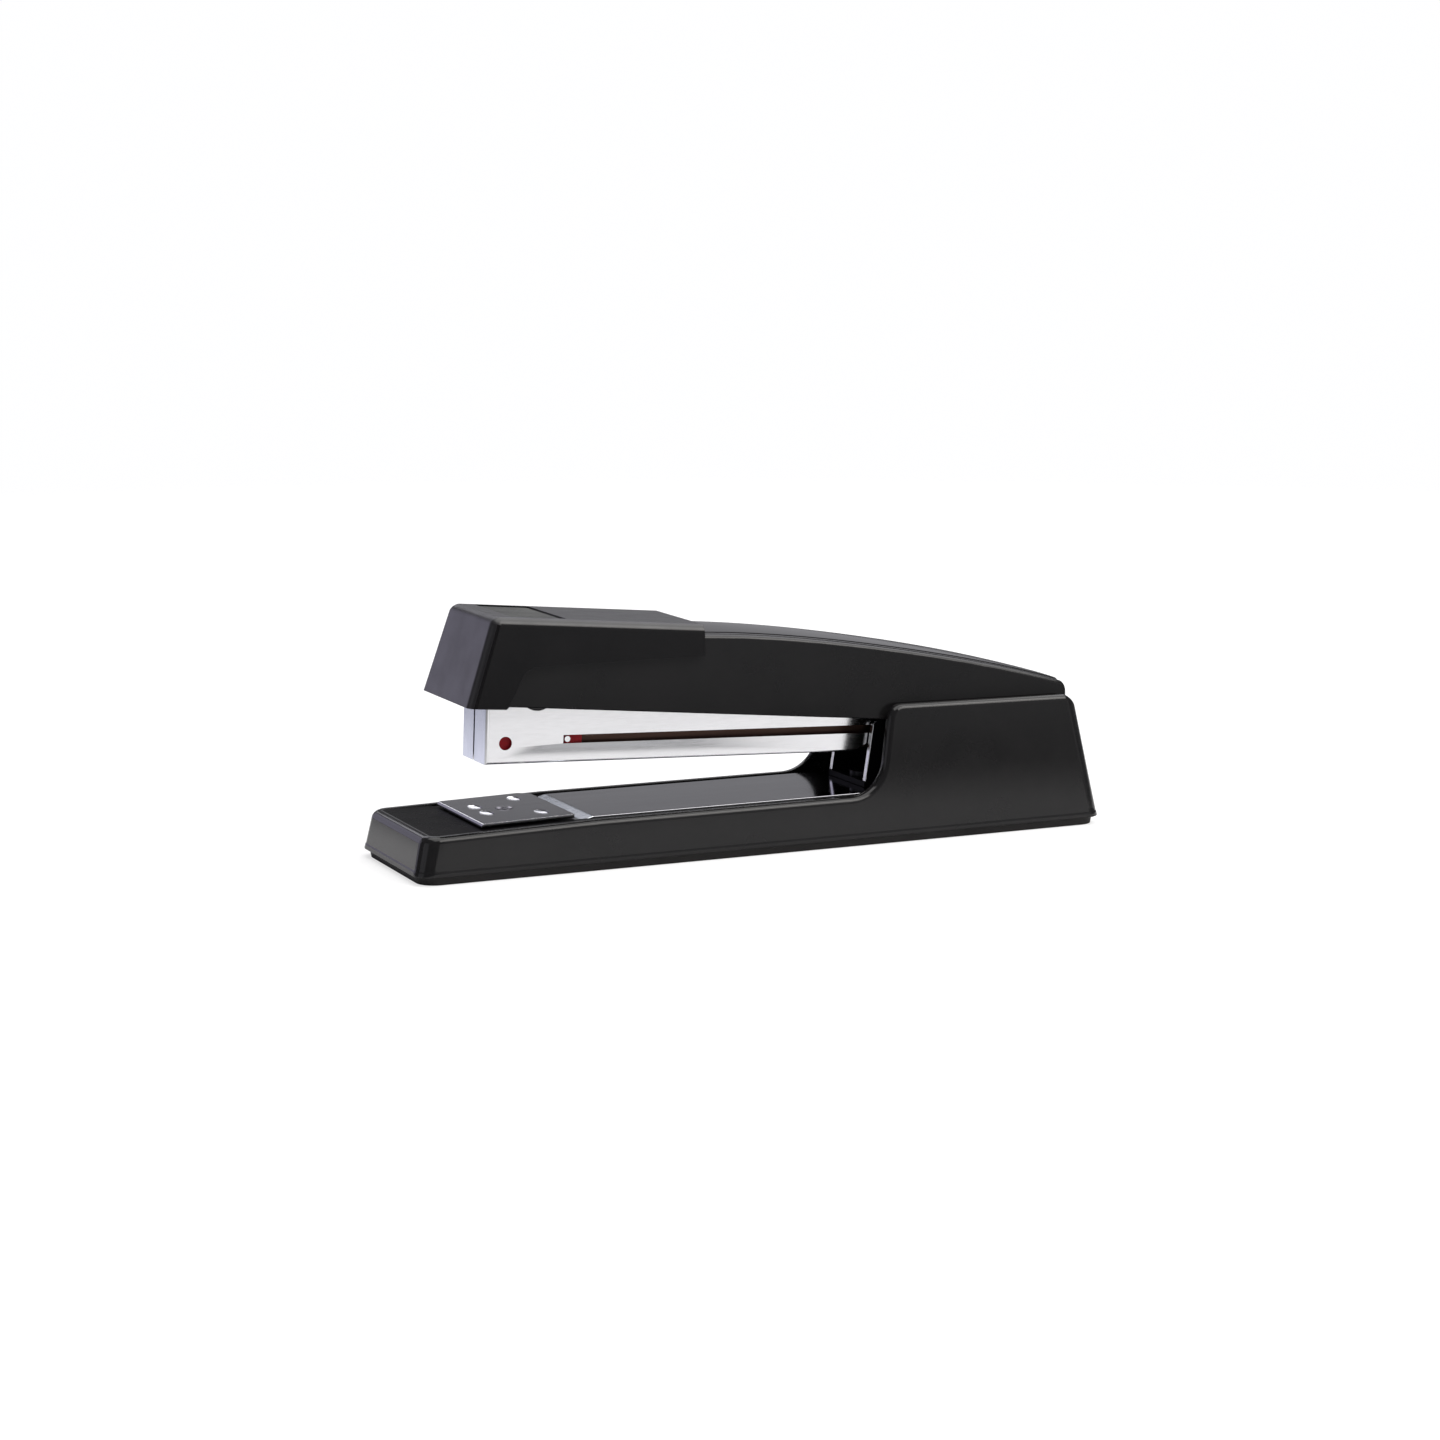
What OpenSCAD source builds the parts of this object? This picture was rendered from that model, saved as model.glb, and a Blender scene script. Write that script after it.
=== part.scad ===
// Full-strip desk stapler, resting with its magazine raised and its handle up.
// Millimetres. X runs from the mouth (-) to the rear (+), Y across, Z up from the desk.
// Lengths named _x are measured from the front of the base, heights named _z from the desk.

/* [Base] */
// Length of the base shell
base_length = 180; // [178:1:184]
// Width of the base shell at its lower edge
base_width = 42.2; // [42:0.2:45]
// Height of the rear housing
housing_z = 33.6; // [33:0.2:36]
// Height of the arm's rim
rim_z = 12; // [11.8:0.1:12]
// Wall thickness of the base shell
base_wall = 2; // [1.8:0.1:2.2]
// Height of the rubber foot pad
foot_height = 1.8; // [1.6:0.1:2]

/* [Hinge] */
// Distance of the hinge pin from the front of the base
pin_x = 158; // [157:0.5:159]
// Height of the hinge pin
pin_z = 25; // [24.5:0.1:25.5]
// Radius of the hinge pin
pin_r = 2.5; // [2:0.1:3]
// Radial clearance of what turns on a pin
running_gap = 0.05; // [0.02:0.01:0.09]

/* [Magazine] */
// Outer width of the magazine channel
magazine_width = 15.8; // [15.6:0.1:16]
// Height of the channel's walls
magazine_height = 16.5; // [15:0.5:16.5]
// Sheet thickness of the channel
magazine_sheet = 0.8; // [0.7:0.05:0.9]
// Angle between the magazine and the desk at rest
magazine_tilt = 2.25; // [2:0.05:2.5]
// Outer width of the staple rail
rail_width = 11.9; // [11.7:0.1:12]
// Height of the rail's top above the magazine's lower edge
rail_top = 9; // [8.8:0.1:9.2]
// Travel of the follower
follower_travel = 88; // [60:1:88]

/* [Handle] */
// Width of the handle at its lower edge
handle_width = 30.2; // [29:0.2:30.6]
// Width of the cap at its lower edge
cap_width = 33; // [32.6:0.2:34]
// Angle that the handle turns down by to drive a staple
press_angle = 4; // [3.5:0.1:4]

/* [Anvil] */
// Length of the anvil plate
anvil_length = 23; // [20:0.5:23]
// Width of the anvil plate
anvil_width = 30.6; // [28:0.2:31]
// Thickness of the anvil plate
anvil_sheet = 0.9; // [0.8:0.1:1]
// Slope of the base's nose
nose_tilt = 1.3; // [1:0.1:1.4]

/* [Hidden] */
$fn = 48;
eps = 0.01;

// Front of the magazine's lower edge, and the pin as seen from it
magazine_front_x = 20.9;
magazine_front_z = 24.6;
pin_dx = pin_x - magazine_front_x;
pin_dz = pin_z - magazine_front_z;
pin_u = pin_dx * cos(magazine_tilt) - pin_dz * sin(magazine_tilt);
pin_v = pin_dx * sin(magazine_tilt) + pin_dz * cos(magazine_tilt);

// Base shell
draft_run = housing_z + 0.4 - foot_height;
side_draft = 0.075;
front_draft = 0.22;
rear_draft = 0.205;
plan_corner = 4.5;
platform_z = 11.2;
platform_sheet = 2;
platform_end_x = 147;
nose_end_x = 45;
nose_drop = (nose_end_x - 2) * tan(nose_tilt);
notch_half = 15.9;
notch_z = 13;
pocket_z = 10.4;
boss_r = 3.2;
boss_spots = [[12, 14], [12, -14], [140, 14], [140, -14]];
base_plate_z = foot_height + 1.5;
screw_r = 1.5;
base_screw_length = 5.8;

// Steel strip and hinge bracket
strip_half = 15.3;
strip_sheet = 0.8;
strip_top = platform_z + strip_sheet;
ear_outer = 9.8;
ear_sheet = 1.4;
bracket_x = 119;
bracket_z = strip_top + ear_sheet;
bracket_screw_x = [123.5, 142];
boss_at_pin = 6.3;
frame_inner = 10.3;
frame_sheet = 1.1;
pin_half = 12.6;

// Anvil
anvil_x = 28.5;
anvil_z = 11.7;
groove_offset = 5.9;
post_neck = 2.1;
post_r = 3;
seat_r = 5.5;
button_r = 5.4;
button_z = 0.7;
button_height = 1.7;
flange_z = 4;
anvil_spring_top = platform_z - platform_sheet - 0.5;

// Magazine
half_in = magazine_width / 2 - magazine_sheet;
front_sheet = 0.9;
flange_v = 14.5;
slot_v = 5.55;
slot_height = 2;
slot_start = 19.4;
floor_end = 94;
rail_start = 1.9;
rail_end = 129;
rail_sheet = 0.9;
rail_half = rail_width / 2;
rod_v = 5;
rod_r = 1.1;
tongue_half = 1;
tab_spots = [22, 58, 88];
stop_u = 124;
follower_front = 2;
follower_end = 24.5;
follower_block = [8, 16];
follower_pin_u = 20.5;

// Handle
cap_front = [[14, 39.7], [21.9, 58.6]];
cap_rear_x = 73.6;
cap_top_slope = 0.088;
cap_sheet = 1.9;
shell_wall = 1.6;
tail_x = 173;
tail_top = 33.8;
shell_front = [[16.3, 39.5], [23.4, 56.5]];
brow_x = 25.2;
brow_drop = 2;
seam_drop = 2.4;
fit_gap = 0.05;
bottom_slope = 0.0968;
blade_u = 1.1;
blade_sheet = 0.5;
blade_half = 6.2;
blade_tip = 0.25;
blade_top = 18.5;
blade_rivet_v = 16.6;
frame_front_x = 25.2;
shell_screw_x = [70, 128];
spring_rivet_x = 95;
rivet_r = 1;
rivet_head_h = 0.4;
leaf_sheet = 0.7;
head_r = 2.6;
inlay_x = [26.5, 39.5];
inlay_half = 11.9;

// ---- helpers ----

// Puts what is measured from the front of the base into the part's own frame
module from_nose() {
    translate([-base_length / 2, 0, 0]) children();
}

// Places what is drawn about the hinge pin, turned up by an angle
module at_pin(angle = 0) {
    from_nose() translate([pin_x, 0, pin_z]) rotate([0, angle, 0]) children();
}

// Magazine frame: X from its front face, Z from its lower edge
module in_magazine(angle = 0) {
    at_pin(magazine_tilt + angle) translate([-pin_u, 0, -pin_v]) children();
}

// Anvil frame: origin on the plate's underside, on the post's axis
module in_anvil_seat() {
    translate([anvil_x, 0, anvil_z]) rotate([0, -nose_tilt, 0]) children();
}

module in_anvil() {
    from_nose() in_anvil_seat() children();
}

// Extrudes a side outline, given as X and Z, from one Y to another
module side(y0, y1) {
    translate([0, y1, 0]) rotate([90, 0, 0]) linear_extrude(y1 - y0) children();
}

// The same on both sides of the middle plane
module both_sides(y0, y1) {
    side(y0, y1) children();
    side(-y1, -y0) children();
}

// A round across the body, from one Y to another
module cross_round(r, y0, y1, x = 0, z = 0) {
    translate([x, y1, z]) rotate([90, 0, 0]) cylinder(r = r, h = y1 - y0);
}

module both_rounds(r, y0, y1) {
    cross_round(r, y0, y1);
    cross_round(r, -y1, -y0);
}

// Points of an arc
function arc(x, z, r, a0, a1, n = 8) =
    [for (i = [0:n]) [x + r * cos(a0 + (a1 - a0) * i / n), z + r * sin(a0 + (a1 - a0) * i / n)]];

// A coil spring's outer shape, as a thin tube
module spring_tube(r, wire, h) {
    rotate_extrude() translate([r - wire, 0]) square([wire, h]);
}

module screw(r, length, head_r, head_h) {
    cylinder(r = r, h = length);
    translate([0, 0, length]) cylinder(r = head_r, h = head_h);
}

// ---- base ----

module plan(inset, z, grow_front, grow_rear, grow_side, thickness = eps) {
    half = base_width / 2 - grow_side - inset - plan_corner;
    x0 = grow_front + inset + plan_corner;
    x1 = base_length - grow_rear - inset - plan_corner;
    for (x = [x0, x1], y = [-half, half])
        translate([x, y, z]) cylinder(r = plan_corner, h = thickness, $fn = 32);
}

// Drafted block between the foot and the housing's top, shrunk all round by an inset
module drafted(inset) {
    hull() {
        plan(inset, foot_height, 0, 0, 0);
        plan(inset, foot_height + draft_run, front_draft * draft_run,
             rear_draft * draft_run, side_draft * draft_run);
    }
}

base_outline = concat(
    [[-2, 0], [-2, rim_z - nose_drop], [2, rim_z - nose_drop], [nose_end_x, rim_z]],
    arc(110.4, rim_z + 9.3, 9.3, -90, -8),
    arc(124.9, housing_z - 3.8, 3.8, 172, 90),
    arc(169.4, housing_z - 5.6, 5, 88, 15),
    [[base_length + 2, 0]]
);

platform_outline = [
    [-2, platform_z - platform_sheet - nose_drop], [-2, housing_z],
    [4.5, housing_z], [4.5, platform_z - nose_drop], [nose_end_x, platform_z],
    [platform_end_x, platform_z], [platform_end_x, platform_z - platform_sheet],
    [nose_end_x, platform_z - platform_sheet]
];

module base_shell() {
    color("#1c1c1e") from_nose() difference() {
        intersection() {
            drafted(0);
            side(-base_width, base_width) polygon(base_outline);
        }
        difference() {
            translate([0, 0, -eps]) drafted(base_wall);
            side(-base_width, base_width) polygon(platform_outline);
            for (p = boss_spots)
                translate([p[0], p[1], base_plate_z]) cylinder(r = boss_r, h = 7);
            // Ring that the anvil plate rests on
            in_anvil_seat() translate([0, 0, -2]) cylinder(r = seat_r, h = 1.98);
        }
        // Way out for the handle's tail
        translate([base_length - 16, -notch_half, notch_z])
            cube([20, 2 * notch_half, housing_z]);
        // Pocket for the strip's tongue, and the post's and the screws' holes
        translate([38.2, -strip_half - 0.2, pocket_z])
            cube([7, 2 * strip_half + 0.4, 3]);
        in_anvil_seat() translate([0, 0, -8]) cylinder(r = post_r + running_gap, h = 9);
        for (x = bracket_screw_x)
            translate([x, 0, 5]) cylinder(r = screw_r, h = 10);
        for (p = boss_spots)
            translate([p[0], p[1], base_plate_z - 1]) cylinder(r = screw_r, h = 6.2);
    }
}

module foot_pad() {
    color("#2a2829") from_nose() difference() {
        hull() {
            plan(0.85, 0, 0, 0, 0);
            plan(0.6, foot_height - eps, 0, 0, 0);
        }
        translate([anvil_x, 0, -1]) cylinder(r = button_r + 0.8, h = 4);
    }
}

module base_plate() {
    color("#8b8c90") from_nose() difference() {
        hull() plan(base_wall + 0.4, foot_height, 0, 0.8, 0, base_plate_z - foot_height);
        translate([anvil_x, 0, 0]) cylinder(r = button_r + 0.8, h = 6);
        for (p = boss_spots) {
            translate([p[0], p[1], 0]) cylinder(r = screw_r, h = 6);
            translate([p[0], p[1], foot_height - eps]) cylinder(r = 2.6, h = 0.7);
        }
    }
}

module base_screws() {
    color("#9a9aa0") from_nose() for (p = boss_spots)
        translate([p[0], p[1], foot_height + 0.69]) rotate([180, 0, 0])
            translate([0, 0, -base_screw_length]) screw(screw_r, base_screw_length, 2.6, 0.68);
}

module steel_strip() {
    joggle = strip_sheet;
    outline = [
        [38.5, pocket_z], [42.2, pocket_z], [44.8, platform_z], [platform_end_x, platform_z],
        [platform_end_x, strip_top], [44.4, strip_top], [41.8, pocket_z + joggle],
        [38.5, pocket_z + joggle]
    ];
    color("#77767c") from_nose() difference() {
        side(-strip_half, strip_half) polygon(outline);
        for (x = bracket_screw_x)
            translate([x, 0, platform_z - 1]) cylinder(r = screw_r, h = 3);
    }
}

module ear_outline() {
    polygon([
        [bracket_x, strip_top], [bracket_x + 2.4, 27.6], [bracket_x + 4.6, 29],
        [pin_x - 1, pin_z + boss_at_pin - 0.1], [pin_x, pin_z], [pin_x - 4.6, pin_z - 4.3],
        [platform_end_x - 0.2, strip_top]
    ]);
    translate([pin_x, pin_z]) circle(r = boss_at_pin);
}

module hinge_bracket() {
    color("#c9cacd") from_nose() difference() {
        union() {
            both_sides(ear_outer - ear_sheet, ear_outer) ear_outline();
            translate([bracket_x, -ear_outer, strip_top])
                cube([platform_end_x - bracket_x - 0.2, 2 * ear_outer, ear_sheet]);
        }
        cross_round(pin_r, -ear_outer - 1, ear_outer + 1, pin_x, pin_z);
        for (x = bracket_screw_x)
            translate([x, 0, strip_top - 1]) cylinder(r = screw_r, h = 4);
    }
}

module bracket_screws() {
    color("#a5a6aa") from_nose() for (x = bracket_screw_x)
        translate([x, 0, 7]) screw(screw_r, bracket_z - 7, 3.2, 1.2);
}

module hinge_pin() {
    color("#b9babd") at_pin() difference() {
        cross_round(pin_r, -pin_half, pin_half);
        for (s = [-1, 1])
            translate([0, s * (pin_half - 0.7), 0]) rotate([90, 0, 0])
                translate([0, 0, -0.3]) rotate_extrude() translate([pin_r - 0.4, 0])
                    square([1, 0.6]);
    }
}

module pin_clips() {
    color("#6f7073") at_pin() for (s = [-1, 1])
        translate([0, s * (pin_half - 0.7), 0]) rotate([90, 0, 0]) translate([0, 0, -0.3])
            difference() {
                cylinder(r = pin_r + 1.6, h = 0.6);
                translate([0, 0, -1]) cylinder(r = pin_r - 0.4, h = 3);
                translate([-0.9, -6, -1]) cube([1.8, 6, 3]);
            }
}

module lift_spring() {
    color("#a8a9ad") from_nose() translate([132.5, 0, bracket_z]) spring_tube(4, 0.7, 7.4);
}

// ---- anvil ----

module anvil_plate() {
    x0 = -groove_offset - 5.4;
    color("#8f9096") in_anvil() difference() {
        linear_extrude(anvil_sheet) difference() {
            translate([x0, -anvil_width / 2]) square([anvil_length, anvil_width]);
            circle(r = post_neck + running_gap);
            for (x = [x0, x0 + anvil_length], y = [-anvil_width / 2, anvil_width / 2])
                translate([x, y]) rotate(45) square(0.8, center = true);
            // The one cut corner, by which the plate's two settings are told apart
            translate([x0 + anvil_length, anvil_width / 2]) rotate(45) square(3.6, center = true);
        }
        // Clinching grooves: a close pair in front of the post, a wide pair behind it
        for (s = [-1, 1]) {
            translate([-groove_offset, s * 4, anvil_sheet]) groove();
            translate([groove_offset, s * 9, anvil_sheet]) groove();
        }
    }
}

module groove() {
    intersection() {
        translate([0, 0, 6.5]) sphere(r = 7);
        cube([2.6, 5, 2], center = true);
    }
}

module anvil_post() {
    color("#b3b4b8") in_anvil() {
        translate([0, 0, -7.8]) cylinder(r = post_r, h = 7.8 - 0.05);
        cylinder(r = post_neck, h = anvil_sheet + 0.1);
        translate([0, 0, -0.06]) cylinder(r = post_neck, h = 0.2);
        translate([0, 0, anvil_sheet + 0.05]) cylinder(r1 = 2.1, r2 = 1.3, h = 0.35);
    }
}

module anvil_button() {
    color("#3a3a3d") in_anvil() translate([0, 0, -anvil_z]) difference() {
        union() {
            translate([0, 0, button_z]) cylinder(r = button_r - 0.4, h = button_height);
            translate([0, 0, button_z + button_height])
                cylinder(r = button_r, h = flange_z + 0.8 - button_z - button_height);
        }
        translate([0, 0, anvil_z - 7.8]) cylinder(r = post_r, h = 5);
    }
}

module anvil_spring() {
    color("#a8a9ad") in_anvil() translate([0, 0, flange_z + 0.8 - anvil_z])
        spring_tube(4.6, 0.6, anvil_spring_top - flange_z - 1);
}

// ---- magazine ----

module channel_wall() {
    difference() {
        union() {
            polygon(concat(
                [[0, 0]], [[floor_end, 0], [floor_end + 3, 0.6], [floor_end + 6.5, 2.5],
                [pin_u - 8, 2.5], [pin_u - 3.5, pin_v - 4.2], [pin_u, pin_v], [pin_u, pin_v + 5.5],
                [pin_u - 8, magazine_height - 2.5], [pin_u - 20, magazine_height],
                [5, magazine_height], [0, flange_v]]
            ));
            translate([pin_u, pin_v]) circle(r = 5.5);
        }
        translate([slot_start, slot_v - slot_height / 2])
            square([follower_travel + 2.8, slot_height]);
        translate([4.9, 5]) circle(r = 1.6);
        translate([pin_u, pin_v]) circle(r = pin_r + running_gap);
    }
}

module magazine_channel() {
    half = magazine_width / 2;
    color("#dcdee2") in_magazine() difference() {
        union() {
            both_sides(half_in, half) channel_wall();
            translate([rail_start, -half_in - eps, 0])
                cube([floor_end - rail_start, 2 * half_in + 2 * eps, magazine_sheet]);
            for (y0 = [0.45, -half_in - eps])
                translate([0, y0, 0]) cube([front_sheet, half_in + eps - 0.45, flange_v]);
        }
        for (u = tab_spots)
            translate([u, 0, -1]) cylinder(r = 1.3, h = 3);
    }
}

module staple_rail() {
    color("#bfc1c5") in_magazine() difference() {
        translate([rail_start, -rail_half, magazine_sheet])
            cube([rail_end - rail_start, rail_width, rail_top - magazine_sheet]);
        // Hollow for the spring, between the front plate and the stop
        difference() {
            translate([rail_start + 1.5, rail_sheet - rail_half, 0])
                cube([rail_end, rail_width - 2 * rail_sheet, rail_top - rail_sheet]);
            for (u = tab_spots)
                translate([u - 3, -rail_half, magazine_sheet]) cube([6, rail_width, 1]);
            translate([104, -rail_half, magazine_sheet]) cube([14, rail_width, 1]);
        }
        // Slot for the follower's tongue
        translate([7, -tongue_half - 0.2, rail_top - 2])
            cube([follower_travel + 12, 2 * tongue_half + 0.4, 3]);
        translate([rail_start - 1, 0, rod_v]) rotate([0, 90, 0]) cylinder(r = rod_r, h = 4);
        for (u = tab_spots)
            translate([u, 0, 0]) cylinder(r = 1.3, h = 3);
    }
}

module guide_rod() {
    color("#c4c5c9") in_magazine() translate([rail_start, 0, rod_v]) rotate([0, 90, 0])
        cylinder(r = rod_r, h = stop_u + 4 - rail_start);
}

module rod_stop() {
    half = rail_half - rail_sheet;
    color("#3c3c40") in_magazine() difference() {
        translate([stop_u, -half, 1.9]) cube([4, 2 * half, rail_top - rail_sheet - 1.9]);
        translate([stop_u - 1, 0, rod_v]) rotate([0, 90, 0]) cylinder(r = rod_r, h = 6);
    }
}

module follower_spring() {
    color("#a8a9ad") in_magazine() translate([follower_block[1] + 0.1, 0, rod_v])
        rotate([0, 90, 0]) spring_tube(2.4, 0.5, stop_u - follower_block[1] - 0.2);
}

module rail_rivets() {
    color("#cfd0d4") in_magazine() for (u = tab_spots)
        translate([u, 0, 0]) screw(1.3, magazine_sheet + 1, 2, 0.4);
}

module follower() {
    arm_in = rail_half + 0.15;
    arm_out = half_in - 0.25;
    color("#7d1420") in_magazine() difference() {
        union() {
            for (y0 = [arm_in, -arm_out])
                translate([follower_front, y0, 3.2])
                    cube([follower_end - follower_front, arm_out - arm_in, 7.4]);
            translate([follower_front, -arm_out, rail_top + 0.2])
                cube([follower_end - follower_front, 2 * arm_out, 1.4]);
            translate([follower_block[0], -tongue_half, rod_v])
                cube([follower_block[1] - follower_block[0], 2 * tongue_half, 5]);
            translate([follower_block[0], -4.5, 2.6])
                cube([follower_block[1] - follower_block[0], 9, 4.8]);
        }
        translate([follower_block[0] - 1, 0, rod_v]) rotate([0, 90, 0])
            cylinder(r = rod_r + running_gap, h = 10);
        translate([follower_pin_u, 0, slot_v])
            both_rounds(0.7, arm_in - 1, arm_out + 1);
    }
}

module follower_pins() {
    color("#e4e5e8") in_magazine() translate([follower_pin_u, 0, slot_v])
        both_rounds(0.7, rail_half + 0.15, magazine_width / 2 - 0.15);
}

// ---- handle ----

function handle_top(x) = 53.1 - 0.055 * (x - 75) - 0.00125 * pow(x - 75, 2);
function handle_bottom(x) = 39.1 - bottom_slope * (x - 24);
function cap_top(x) = 60.1 - cap_top_slope * (x - 22.5);

// Side outline of the shell, with its lower edge along the handle's bottom
function shell_outline() = concat(
    [shell_front[0], shell_front[1], [brow_x, cap_top(brow_x) - brow_drop]],
    [[cap_rear_x, cap_top(cap_rear_x) - seam_drop]],
    [for (x = [80:12:164]) [x, handle_top(x)]],
    [[171.4, handle_top(171.4)], [tail_x, tail_top], [tail_x, pin_z]],
    [[165, pin_z], [pin_x, handle_bottom(pin_x)], [24, handle_bottom(24)]]
);

// Its hollow, which stays one wall inside the front, the top and the tail
function shell_hollow() = concat(
    [[shell_front[0][0] + shell_wall, 30], [shell_front[0][0] + shell_wall, shell_front[0][1]]],
    [[shell_front[1][0] + shell_wall, shell_front[1][1] - shell_wall / 2]],
    [[brow_x + shell_wall, cap_top(brow_x) - brow_drop - shell_wall]],
    [[cap_rear_x, cap_top(cap_rear_x) - seam_drop - shell_wall]],
    [for (x = [80:12:164]) [x, handle_top(x) - shell_wall]],
    [[170.6 - shell_wall / 2, handle_top(170.6) - shell_wall]],
    [[tail_x - shell_wall, tail_top - shell_wall], [tail_x - shell_wall, 10], [150, 10]]
);

// Prism along X whose sides lean in towards the top
module leaning(half, x0, x1) {
    translate([x0, 0, 0]) rotate([90, 0, 90]) linear_extrude(x1 - x0)
        polygon([[-half - 0.9, 20], [half + 0.9, 20], [half - 1.5, 62], [1.5 - half, 62]]);
}

module handle_shell() {
    half = handle_width / 2;
    color("#17171a") from_nose() difference() {
        intersection() {
            side(-half - 2, half + 2) polygon(shell_outline());
            leaning(half, 10, base_length);
        }
        intersection() {
            side(-half, half) polygon(shell_hollow());
            leaning(half - shell_wall, 10, base_length);
        }
        for (x = shell_screw_x)
            translate([x, 0, 40]) cylinder(r = screw_r, h = handle_top(x) - 40.8);
    }
    // Bosses that stand on the frame
    color("#17171a") from_nose() for (x = shell_screw_x) difference() {
        boss_z = frame_top(x - boss_r) + 0.02;
        translate([x, 0, boss_z]) cylinder(r = boss_r, h = handle_top(x) - 1 - boss_z);
        translate([x, 0, 40]) cylinder(r = screw_r, h = handle_top(x) - 40.8);
    }
}

module front_cap() {
    half = cap_width / 2;
    outline = concat(
        [cap_front[0], cap_front[1]],
        arc(24.6, cap_top(24.6) - 2.6, 2.6, 150, 85, 5),
        [[cap_rear_x, cap_top(cap_rear_x)], [cap_rear_x, 48.2]],
        arc(31.5, 43.2, 5, 90, 165, 6),
        [[24.7, 40.7], [23.7, handle_bottom(24)]]
    );
    color("#4b484e") from_nose() difference() {
        intersection() {
            side(-half - 2, half + 2) polygon(outline);
            leaning(half, 0, 90);
        }
        intersection() {
            side(-half, half) polygon(cap_hollow());
            leaning(handle_width / 2 + fit_gap, 0, 90);
        }
        inlay_place() translate([-0.3, -inlay_half - 0.3, -0.9])
            cube([inlay_x[1] - inlay_x[0] + 0.6, 2 * inlay_half + 0.6, 3]);
    }
}

// Room for the shell in the cap
function cap_hollow() = [
    [shell_front[0][0] - 0.1, 30], [shell_front[0][0] - 0.1, shell_front[0][1]],
    [shell_front[1][0] - 0.1, shell_front[1][1] + 0.1],
    [brow_x - 0.1, cap_top(brow_x - 0.1) - brow_drop + fit_gap],
    [90, cap_top(90) - brow_drop + fit_gap], [90, 30]
];

// Frame on the cap's top, at the inlay's front edge
module inlay_place() {
    translate([inlay_x[0], 0, cap_top(inlay_x[0])]) rotate([0, atan(cap_top_slope), 0]) children();
}

module cap_inlay() {
    color("#3d3b40") from_nose() inlay_place() translate([0, -inlay_half, -0.9])
        cube([inlay_x[1] - inlay_x[0], 2 * inlay_half, 0.6]);
}

// Height of the frame's upper face
function frame_top(x) = x < 75 ? 49 + 4.2 * (75 - x) / (75 - frame_front_x)
    : 49 - 0.085 * (x - 75) - 0.00095 * pow(x - 75, 2);
frame_xs = [frame_front_x, 75, 90, 105, 120, 135, 150, 165];

module frame_side() {
    polygon(concat(
        [[frame_front_x, handle_bottom(frame_front_x) + 1.2]],
        [for (x = frame_xs) [x, frame_top(x)]],
        [[165, pin_z + 4], [pin_x + 4, pin_z], [pin_x - 4.5, pin_z - 4.4], [146, 28.6]]
    ));
    translate([pin_x, pin_z]) circle(r = boss_at_pin);
}

module frame_ceiling() {
    polygon(concat(
        [for (x = frame_xs) [x, frame_top(x)]],
        [for (i = [len(frame_xs) - 1:-1:0]) [frame_xs[i], frame_top(frame_xs[i]) - frame_sheet]]
    ));
}

module handle_frame() {
    color("#b5b6ba") {
        difference() {
            from_nose() union() {
                both_sides(frame_inner, frame_inner + frame_sheet) frame_side();
                side(-frame_inner - eps, frame_inner + eps) frame_ceiling();
            }
            at_pin() cross_round(pin_r + running_gap, -20, 20);
            from_nose() for (x = concat(shell_screw_x, [spring_rivet_x]))
                translate([x, 0, 30]) cylinder(r = screw_r, h = 30);
        }
        // Tab that carries the driver blade
        difference() {
            in_magazine(press_angle) translate([blade_u + blade_sheet, -6.8, 12.4])
                cube([frame_sheet, 13.6, 6.4]);
            blade_holes();
        }
    }
}

module blade_holes() {
    in_magazine(press_angle) for (y = [-3, 3])
        translate([0, y, blade_rivet_v]) rotate([0, 90, 0]) cylinder(r = rivet_r, h = 5);
}

module driver_blade() {
    color("#cdced2") difference() {
        in_magazine(press_angle) translate([blade_u, -blade_half, blade_tip])
            cube([blade_sheet, 2 * blade_half, blade_top - blade_tip]);
        blade_holes();
    }
}

module driver_rivets() {
    thick = blade_sheet + frame_sheet;
    color("#9d9ea3") in_magazine(press_angle) for (y = [-3, 3])
        translate([blade_u, y, blade_rivet_v]) rotate([0, 90, 0]) {
            cylinder(r = rivet_r, h = thick);
            translate([0, 0, -rivet_head_h]) cylinder(r = 1.6, h = rivet_head_h);
            translate([0, 0, thick]) cylinder(r = 1.6, h = rivet_head_h);
        }
}

// Leaf riveted under the frame, whose free end presses on the magazine's walls
module press_spring() {
    rear = [101, frame_top(101) - frame_sheet - fit_gap];
    front = [88, frame_top(88) - frame_sheet - fit_gap];
    color("#9fa0a5") from_nose() difference() {
        side(-8.6, 8.6) polygon([
            rear, front, [55, 40.9], [51, 41.3], [51, 40.6], [55, 40.1],
            [front[0], front[1] - leaf_sheet], [rear[0], rear[1] - leaf_sheet]
        ]);
        translate([spring_rivet_x, 0, 30]) cylinder(r = screw_r, h = 30);
    }
}

module spring_rivet() {
    under = frame_top(spring_rivet_x + head_r) - frame_sheet - leaf_sheet - 2 * fit_gap;
    over = frame_top(spring_rivet_x - head_r) + 0.02;
    color("#9d9ea3") from_nose() translate([spring_rivet_x, 0, 0]) {
        translate([0, 0, under - 0.6]) cylinder(r = head_r, h = 0.6);
        translate([0, 0, under - 0.1]) cylinder(r = screw_r, h = over - under + 0.2);
        translate([0, 0, over]) cylinder(r = head_r, h = 0.5);
    }
}

module shell_screws() {
    head_h = 1.1;
    color("#9a9aa0") from_nose() for (x = shell_screw_x)
        translate([x, 0, frame_top(x + head_r) - frame_sheet - head_h - 0.1]) {
            cylinder(r = head_r, h = head_h);
            cylinder(r = screw_r, h = 4.2);
        }
}

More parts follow.
